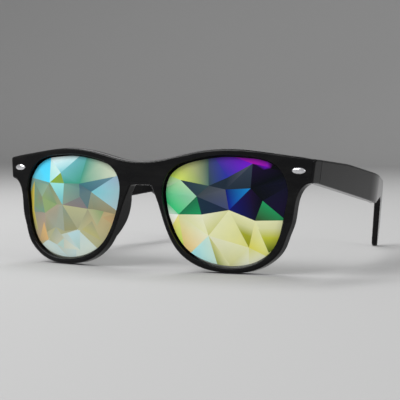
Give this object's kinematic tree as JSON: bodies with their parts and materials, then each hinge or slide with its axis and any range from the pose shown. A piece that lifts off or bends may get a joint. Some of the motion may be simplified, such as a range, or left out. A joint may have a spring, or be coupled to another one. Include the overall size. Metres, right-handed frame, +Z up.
{
  "type": "diffraction glasses",
  "caption": "Folding glasses with a glossy black horn-rimmed front, thick faceted lenses with an iridescent coating, oval rivets and knuckle-hinged arms.",
  "frame": {"origin": "middle of the footprint, on the floor that the rims and the arm tips rest on", "axes": "+X to the right as seen from the front, -Y the way the lenses face, +Z up"},
  "size_m": [0.146, 0.1366, 0.0498],
  "materials": {
    "black_plastic": "polished moulded plastic",
    "coated_glass": "faceted, iridescent coating",
    "polished_metal": "polished",
    "hinge_metal": "satin",
    "screw_metal": "bright"
  },
  "bodies": {
    "front": {"front_frame": "black_plastic", "lens_right": "coated_glass", "lens_left": "coated_glass", "rivet_right": "polished_metal", "rivet_left": "polished_metal", "front_hinge_leaf_right": "hinge_metal", "front_hinge_leaf_left": "hinge_metal", "hinge_screw_right": "screw_metal", "hinge_screw_left": "screw_metal"},
    "right_arm": {"temple_right": "black_plastic", "temple_hinge_leaf_right": "hinge_metal", "temple_leaf_screws_right": "screw_metal"},
    "left_arm": {"temple_left": "black_plastic", "temple_hinge_leaf_left": "hinge_metal", "temple_leaf_screws_left": "screw_metal"}
  },
  "joints": [
    {"name": "right_arm_fold", "type": "hinge", "parent": "front", "child": "right_arm", "pos_m": [0.0654, -0.05018, 0.04061], "axis": [0, 0.0643, 0.9979], "range_deg": [0, 85]},
    {"name": "left_arm_fold", "type": "hinge", "parent": "front", "child": "left_arm", "pos_m": [-0.0654, -0.05018, 0.04061], "axis": [0, -0.0643, -0.9979], "range_deg": [0, 77]}
  ]
}
